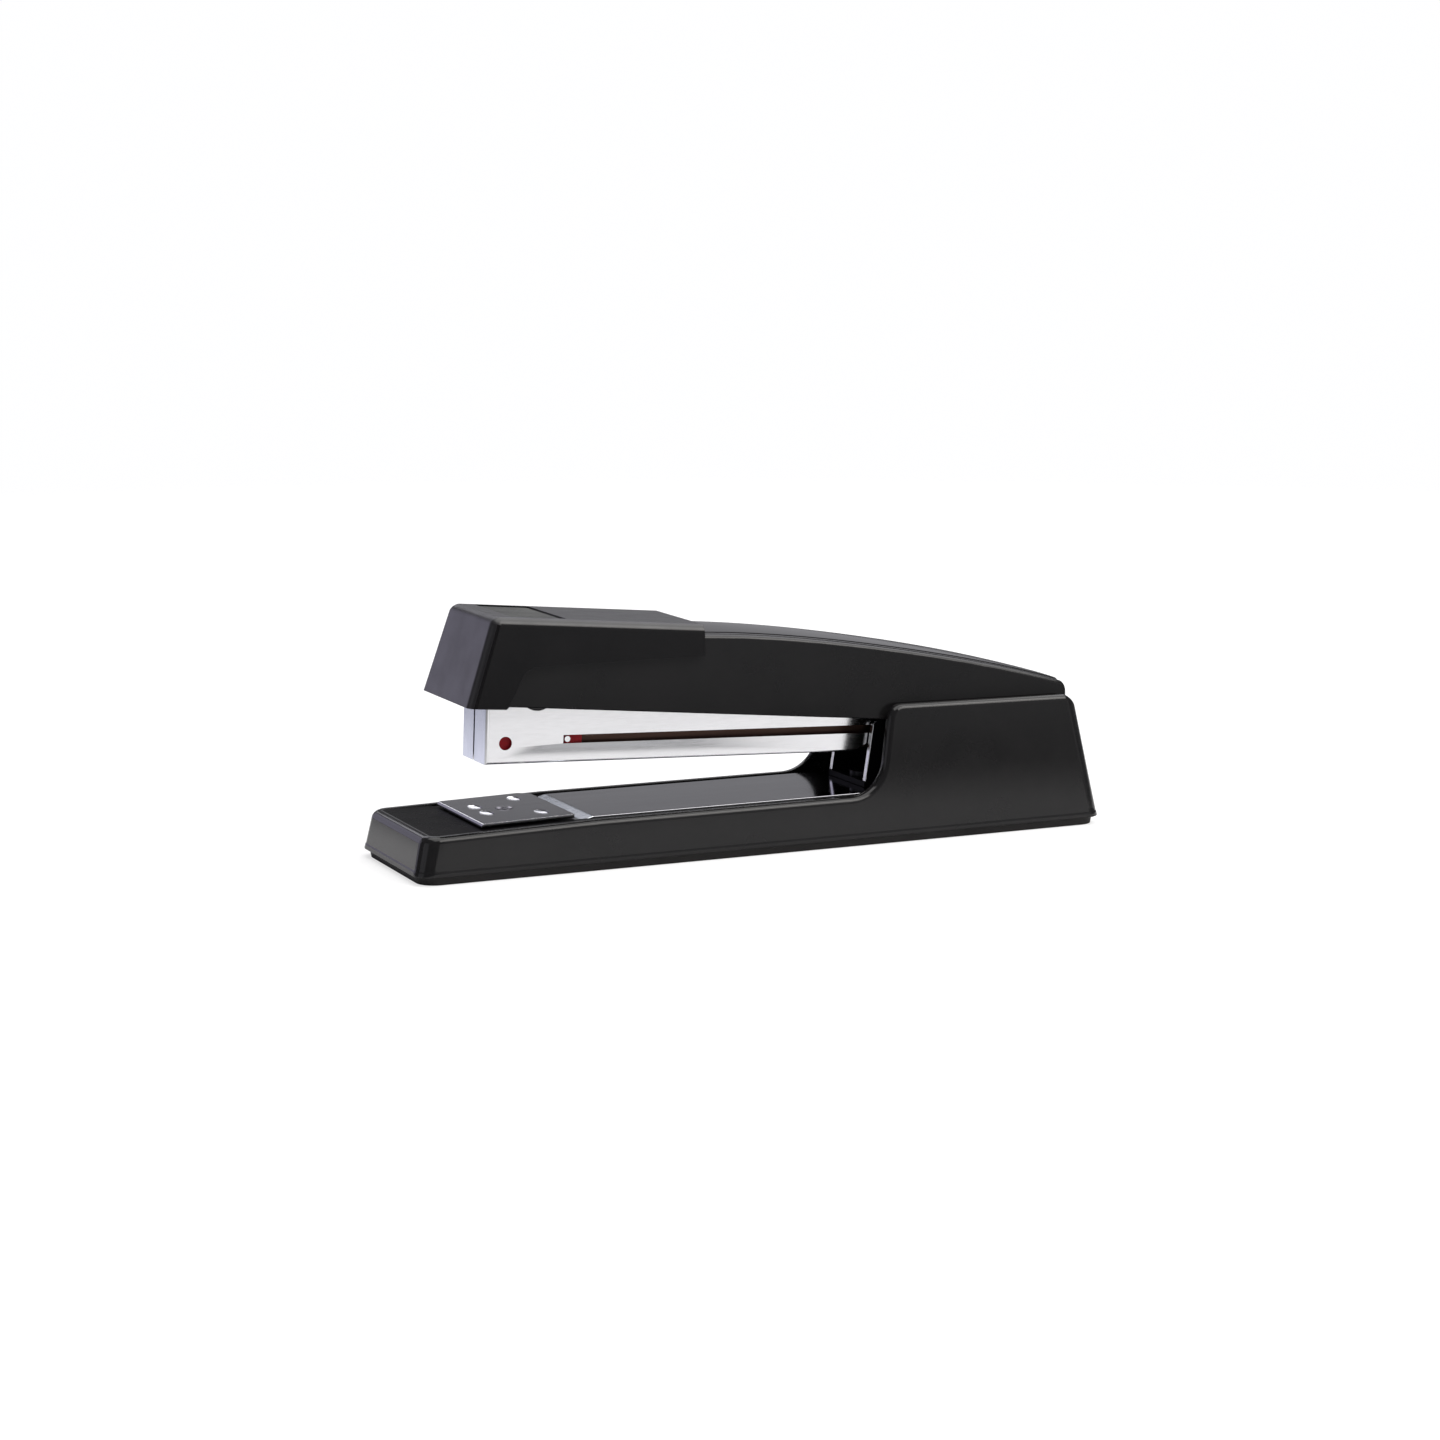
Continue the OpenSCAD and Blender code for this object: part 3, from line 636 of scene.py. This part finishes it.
def round_folds(bm):
    """Rounds the channel's folds: the lower edges and the upright edges of its front."""
    back = MAG.inverted()
    local = {v: (back @ (v.co / MM)) for v in bm.verts}

    def is_fold(e):
        a, b = (local[v] for v in e.verts)
        same_side = abs(a.y - b.y) < 0.01
        on_front = max(abs(a.x), abs(b.x)) < 0.01 and max(a.z, b.z) < 14.6
        on_bottom = max(abs(a.z), abs(b.z)) < 0.01
        return same_side and (on_front or on_bottom)

    bmesh.ops.bevel(bm, geom=[e for e in bm.edges if is_fold(e)], offset=FOLD_ROUND * MM,
                    segments=5, profile=0.5, affect="EDGES")


edit_mesh(channel.data, round_folds)
inside = (-MAG_HALF + SHEET, MAG_HALF - SHEET)
cut(channel,
    block("trough", (0.9, 170), inside, (SHEET, 30), MAG),
    block("open_rear", (94, 170), inside, (-2, 5), MAG),
    block("front_seam", (-1, 1.4), (-0.42, 0.42), (-2, 30), MAG),
    block("staple_gap", (0.9, 1.9), inside, (-2, 2), MAG),
    block("side_slots", (19.4, 110.2), (-12, 12), (4.55, 6.55), MAG),
    prism("front_hole", circle(4.9, 5.0, 1.6, 1.6, 48), -12, 12, MAG),
    prism("pin_hole", circle(PIN_U, PIN_V, 2.55, 2.55, 48), -12, 12, MAG))
soften(channel, 0.1, 2, 50)
shade(channel)
place_piece(channel, [NICKEL, SHADED_FRONT_NICKEL], "magazine", "nickel", "magazine_channel")
FRONT_LIMIT = (21.6 - BASE_LENGTH / 2) * MM + 0.0012  # just behind the channel's front face
# The channel's front faces get the darker, bluer nickel copy: painted shade with a painted bluish
# reflection.
paint(channel, 1, lambda f: f.normal.x < -0.9 and f.center.x < FRONT_LIMIT)

spring = coil("push_coil", 2.4, 0.5, SPRING_LENGTH, 62,
              MAG @ Matrix.Translation((SPRING_START, 0, SPRING_Z)) @ ALONG_X, sides=6, steps=18)
shade(spring)
place_piece(spring, [WIRE], "magazine", "spring_steel", "follower_spring")
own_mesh(spring)

refined("staple_rail", "core_rail", 0.15, [RAIL_STEEL], "magazine", "nickel")
refined("follower", "pusher", 0.15, [RED_PLASTIC], "follower", "red_plastic")

# ---------------------------------------------------------------- handle shell

HANDLE_HALF, CAP_HALF = 15.1, 16.5
HANDLE_WALL, HANDLE_ROOF = 1.6, 3.0
EDGE_ROUND = 1.15
REAR_START, TAIL = 75, 173.0  # where the top begins to curve, and where the handle ends
TAIL_ROUND, TAIL_NARROWS, TAIL_DROPS = 1.9, 1.3, 1.5
SHELL_STATIONS = [24.3] + [24.3 + 1.2 * k for k in range(1, 4)] + list(range(30, 168, 4)) \
    + [168, 169.5, 171.0]


def lean(half_width, z):
    """Half width at a height, for sides that lean inwards."""
    return half_width + 0.9 - (z - 20) * 2.4 / 42


def handle_top(x):
    if x < REAR_START:
        return 53.1 + 0.074 * (REAR_START - x)
    run = x - REAR_START
    return 53.1 - 0.055 * run - 0.00125 * run ** 2 - 0.45 * math.sin(math.pi * run / 98) ** 2


def handle_bottom(x):
    return 39.1 - 0.0968 * (x - 24) if x < 158 else max(25.0, 26.13 - 0.16 * (x - 158))


def handle_section(x, top, bottom, pull):
    """Section of the shell: side, rounded edge, sloping shoulder, small ridge and crown."""
    edge = top - 0.3
    foot = lean(HANDLE_HALF, bottom) - pull
    side = [(foot - 0.25, bottom), (foot, bottom + 0.25)]
    w = lean(HANDLE_HALF, edge) - pull
    for k in range(9):
        a = math.radians(85.5) * k / 8
        side.append((w - EDGE_ROUND * (1 - math.cos(a)), edge - EDGE_ROUND * (1 - math.sin(a))))
    shoulder = ((2.8, 0.06), (2.95, 0.12), (3.15, 0.18), (3.3, 0.19))
    ridge = ((3.42, 0.17), (3.48, 0.19), (3.54, 0.42), (3.66, 0.47), (3.9, 0.48))
    side += [(w - inset, edge + height) for inset, height in shoulder + ridge]
    crown_half, crown_start = w - 3.9, edge + 0.48
    for f in (0.95, 0.88, 0.75, 0.6, 0.45, 0.3, 0.15, 0.0):
        side.append((crown_half * f, crown_start + (top - edge - 0.12) * (1 - f * f)))
    return [(x, y, z) for y, z in side] + [(x, -y, z) for y, z in reversed(side[:-1])]


shell_rings = [handle_section(x, handle_top(x), handle_bottom(x), 0.0) for x in SHELL_STATIONS]
for k in range(1, 9):
    a = math.pi / 2 * k / 8
    x = TAIL - TAIL_ROUND * (1 - math.sin(a))
    pull = TAIL_NARROWS * (1 - math.cos(a))
    top = handle_top(x) - TAIL_DROPS * pull
    shell_rings.append(handle_section(x, top, handle_bottom(x), pull))
handle = mesh_object("handle_cover", *loft(shell_rings))

hollow_rings = []
for x in [20.0, 30.0] + list(range(40, 169, 8)) + [171.0]:
    z = handle_top(x) - HANDLE_ROOF
    low_y, high_y = lean(HANDLE_HALF - HANDLE_WALL, 20), lean(HANDLE_HALF - HANDLE_WALL, z)
    hollow_rings.append([(x, low_y, 20), (x, high_y, z), (x, -high_y, z), (x, -low_y, 20)])
cut(handle, mesh_object("hollow", *loft(hollow_rings)))
shade(handle, 32)
place_piece(handle, [BLACK_SHELL], "handle", "black_shell", "handle_shell")

# ---------------------------------------------------------------- cap and inlay

CAP_SLOPE = 0.088
CAP_END = 73.6
CAP_GAP = 0.06  # clearance between the cap and the shell's sides
CAP_ROUND = 2.1
INLAY_X, INLAY_LENGTH, INLAY_HALF = 26.5, 13.0, 11.9
INLAY_GAP = 0.35


def cap_top(x):
    return 60.0 - CAP_SLOPE * (x - 22.5)


corners = [(14.0, 39.7), (20.9, cap_top(20.9)), (CAP_END, cap_top(CAP_END)),
           (CAP_END, 30.0), (16.0, 30.0)]
cap = mesh_object("nose_cap", *loft([
    [(x, s * lean(CAP_HALF, z), z) for x, z in corners] for s in (-1, 1)]))


def round_cap(bm):
    """Rounds the cap's edges along its front and top, and the edge across between them."""
    def at_corner(v, i):
        x, z = corners[i]
        return abs(v.co.x / MM + BASE_LENGTH / 2 - x) < 0.05 and abs(v.co.z / MM - z) < 0.05

    def joins(a, b, i, j):
        return at_corner(a, i) and at_corner(b, j) or at_corner(a, j) and at_corner(b, i)

    edges = []
    for e in bm.edges:
        a, b = e.verts
        if a.co.y * b.co.y < 0:
            if at_corner(a, 1):
                edges.append(e)
        elif joins(a, b, 0, 1) or joins(a, b, 1, 2):
            edges.append(e)
    bmesh.ops.bevel(bm, geom=edges, offset=CAP_ROUND * MM, segments=8, profile=0.5,
                    affect="EDGES")


edit_mesh(cap.data, round_cap)
seam = ([(23.75, 20), (23.75, 39.2), (24.1, 40.2), (24.7, 40.9)]
        + arc(31.6, 43.1, 5.1, 162, 90, 10) + [(80, 48.2), (80, 20)])
chin = [(10, 20), (10, 39.75), (14, 39.5), (23.2, 38.75), (23.8, 39.2), (24, 20)]
cap_hollow = ((16.2, 20), (16.2, 39.5), (23.6, 56.6), (25.1, 57.6), (90, cap_top(90) - 2.1), (90, 20))
cut(cap,
    prism("below_seam", seam, -30, 30),
    prism("below_chin", chin, -30, 30),
    mesh_object("cap_hollow", *loft([
        [(x, lean(HANDLE_HALF + CAP_GAP, z) * s, z) for x, z in cap_hollow] for s in (-1, 1)])))
inlay_frame = (FROM_NOSE @ Matrix.Translation((INLAY_X, 0, cap_top(INLAY_X)))
               @ Matrix.Rotation(math.atan(CAP_SLOPE), 4, "Y"))
recess_half = INLAY_HALF + INLAY_GAP
cut(cap, block("recess", (-INLAY_GAP, INLAY_LENGTH + INLAY_GAP), (-recess_half, recess_half),
               (-0.95, 3), inlay_frame))
soften(cap, 0.26, 2, 40)
shade(cap)
place_piece(cap, [CAP_TEXTURE, CAP_SIDE_GLOSS_SHADE, SHADE_BLACK], "handle", "cap_texture", "front_cap")
on_side = 0.93
# The cap's sides get the glossy copy: real gloss, with a darker tone that is painted shade.
paint(cap, 1, lambda f: abs(f.normal.y) > on_side)
# Roundings at the cap's lower and rear edges are painted near black: painted shade.
paint(cap, 2, lambda f: 0.3 < abs(f.normal.y) <= on_side
      and (f.normal.z < -0.2 or f.normal.x > 0.2))

inlay = block("nose_panel", (0, INLAY_LENGTH), (-INLAY_HALF, INLAY_HALF), (-0.9, -0.32),
              inlay_frame)
soften(inlay, 0.15)
shade(inlay)
place_piece(inlay, [INLAY_TEXTURE], "handle", "inlay_texture", "cap_inlay")

# ---------------------------------------------------------------- inside the handle, and catches

refined("handle_frame", "inner_frame", 0.15, [PLAIN_STEEL], "handle", "steel_plain")
refined("driver_blade", "striker", 0.08, [NICKEL], "handle", "steel_polished")
leaf = refined("press_spring", "leaf", 0.12, [PLAIN_STEEL], "handle", "spring_steel")
for v in leaf.data.vertices:
    v.co.y *= 6.7 / 8.6  # narrow enough to dip between the walls of the channel

CATCH_X, CATCH_Y, CATCH_RADIUS = (28.9, 34.4), 13.5, 1.05
for name, y in (("catch_near", -CATCH_Y), ("catch_far", CATCH_Y)):
    x0, x1 = CATCH_X
    straight = x1 - x0 - 2 * CATCH_RADIUS
    rings = []
    for k in range(17):
        a = math.pi * k / 16
        x = x0 + CATCH_RADIUS + straight * (k / 16) - CATCH_RADIUS * math.cos(a)
        r = CATCH_RADIUS * math.sin(a) + 0.02
        rings.append([(x, py, pz) for py, pz in circle(y, handle_bottom(x) + 0.25, r, r, 20)])
    catch = mesh_object(name, *loft(rings))
    shade(catch)
    place_piece(catch, [BLACK_SHELL], "handle", "black_shell")

lift = coil("lift_coil", 4.0, 0.7, 5.2, 4.2, FROM_NOSE @ Matrix.Translation((132.5, 0, 13.4)))
shade(lift)
place_piece(lift, [DARK_WIRE], "base", "spring_steel", "lift_spring")

# ---------------------------------------------------------------- carried-over nodes

CARRIED = {
    "foot_pad": RUBBER,
    "base_plate": PLAIN_STEEL,
    "base_screws": PLAIN_STEEL,
    "bracket_screws": DARK_WIRE,
    "hinge_pin": DARK_WIRE,
    "pin_clips": WIRE,
    "anvil_post": POLISHED_STEEL,
    "anvil_button": DARK_PLASTIC,
    "anvil_spring": WIRE,
    "guide_rod": PLAIN_STEEL,
    "rod_stop": DARK_PLASTIC,
    "rail_rivets": PLAIN_STEEL,
    "follower_pins": NICKEL,
    "driver_rivets": PLAIN_STEEL,
    "spring_rivet": PLAIN_STEEL,
    "shell_screws": PLAIN_STEEL,
}
for name, material in CARRIED.items():
    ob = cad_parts[name]
    if ob.material_slots:
        for s in ob.material_slots:
            s.material = material
    else:
        ob.data.materials.append(material)

# ---------------------------------------------------------------- floor and room

FLOOR_HALF, FLOOR_Z = 1500, -0.05
FLOOR_PALE, FLOOR_DARK = (0.69, 0.69, 0.695), (0.09, 0.09, 0.092)
DARKENS = (0.2, 0.42)  # metres from the middle, for every ray but the camera's
FADES_OUT = (0.5, 1.0)
SHOWN_COLOUR, SHOWN_GLOW = (0.36, 0.36, 0.362, 1), 0.66  # the floor as the camera sees it

floor = mesh_object("floor", [(x * FLOOR_HALF, y * FLOOR_HALF, FLOOR_Z)
                              for x, y in ((-1, -1), (1, -1), (1, 1), (-1, 1))], [(0, 1, 2, 3)])
fm = Nodes("studio_floor", Roughness=0.9, Specular_IOR_Level=0.1)
length = fm.add("VectorMath")
length.operation = "LENGTH"
fm.link(fm.coord, length.inputs[0])
distance = length.outputs["Value"]
fm.set("Base Color", fm.mix(fm.spread(distance, 0, 1, *DARKENS), FLOOR_PALE, FLOOR_DARK))
glow_sum = fm.add("AddShader")
fm.link(fm.add("BsdfDiffuse", Color=SHOWN_COLOUR).outputs[0], glow_sum.inputs[0])
fm.link(fm.add("Emission", Strength=SHOWN_GLOW).outputs[0], glow_sum.inputs[1])


def blend(factor, first, second):
    node = fm.add("MixShader")
    fm.link(factor, node.inputs["Fac"])
    fm.link(first.outputs[0], node.inputs[1])
    fm.link(second.outputs[0], node.inputs[2])
    return node


seen = blend(fm.add("LightPath").outputs["Is Camera Ray"], fm.shader, glow_sum)
faded = blend(fm.spread(distance, 0, 1, *FADES_OUT), seen, fm.add("BsdfTransparent"))
fm.link(faded.outputs[0], fm.tree.nodes["Material Output"].inputs["Surface"])
floor.data.materials.append(fm.material)

world = bpy.data.worlds.new("studio")
bpy.context.scene.world = world
world.use_nodes = True
wt = world.node_tree
for n in list(wt.nodes):
    wt.nodes.remove(n)
out = wt.nodes.new("ShaderNodeOutputWorld")
mixer = wt.nodes.new("ShaderNodeMixShader")
path = wt.nodes.new("ShaderNodeLightPath")
wt.links.new(path.outputs["Is Camera Ray"], mixer.inputs["Fac"])
# The room is dim for reflections and nearly white behind the object.
for i, colour, strength in ((1, (0.93, 0.93, 1.0, 1), 0.14), (2, (0.95, 0.95, 0.955, 1), 1.05)):
    room = wt.nodes.new("ShaderNodeBackground")
    room.inputs["Color"].default_value = colour
    room.inputs["Strength"].default_value = strength
    wt.links.new(room.outputs["Background"], mixer.inputs[i])
wt.links.new(mixer.outputs["Shader"], out.inputs["Surface"])

# ---------------------------------------------------------------- lights and camera

COOL, VIOLET = (0.93, 0.93, 1.0), (0.81, 0.77, 1.0)


def softbox(name, place, target, size, power, colour=(1, 1, 1)):
    """Rectangular light in metres and watts, facing a target."""
    light = bpy.data.lights.new(name, "AREA")
    light.shape, light.size, light.size_y = "RECTANGLE", size[0], size[1]
    light.energy, light.color = power, colour
    ob = bpy.data.objects.new(name, light)
    ob.location = place
    ob.rotation_euler = (Vector(target) - Vector(place)).to_track_quat("-Z", "Y").to_euler()
    ob.visible_camera = False
    bpy.context.scene.collection.objects.link(ob)


softbox("overhead", (0.45, 0.0, 1.35), (0.45, 0, 0), (2.1, 1.7), 30.0, (1, 0.99, 0.98))
softbox("key", (0.55, -0.85, 1.05), (0, 0, 0.02), (1.0, 0.7), 10.0, (1, 0.97, 0.94))
softbox("rear", (0.45, 1.15, 0.93), (0, 0, 0.02), (1.5, 0.78), 4.7, (0.94, 0.93, 1.0))
softbox("rear_low", (0.75, 1.35, 0.18), (0, 0, 0.02), (1.5, 0.4), 0.4, (0.97, 0.96, 1.0))
softbox("right", (0.75, -0.95, 0.3), (0, 0, 0.02), (1.1, 0.7), 0.9)
softbox("left", (-1.4, -0.2, 0.3), (0, 0, 0.02), (0.9, 0.6), 0.9, COOL)
softbox("left_rear", (-0.75, 1.35, 0.28), (0, 0, 0.03), (1.1, 0.8), 2.2, VIOLET)

CAMERA_PLACE = (-0.3244, -0.6951, 0.1566)
CAMERA_DOWN, CAMERA_TURN = 9.42, 24.65  # degrees below level, and to the right of +Y
cam = bpy.data.cameras.new("camera")
cam.lens, cam.sensor_width, cam.sensor_fit = 79.9, 36.0, "HORIZONTAL"
cam.clip_start = 0.01
camera = bpy.data.objects.new("camera", cam)
camera.location = CAMERA_PLACE
camera.rotation_euler = (math.radians(90 - CAMERA_DOWN), 0, math.radians(-CAMERA_TURN))
bpy.context.scene.collection.objects.link(camera)
bpy.context.scene.camera = camera
bpy.context.scene.view_settings.view_transform = "Standard"
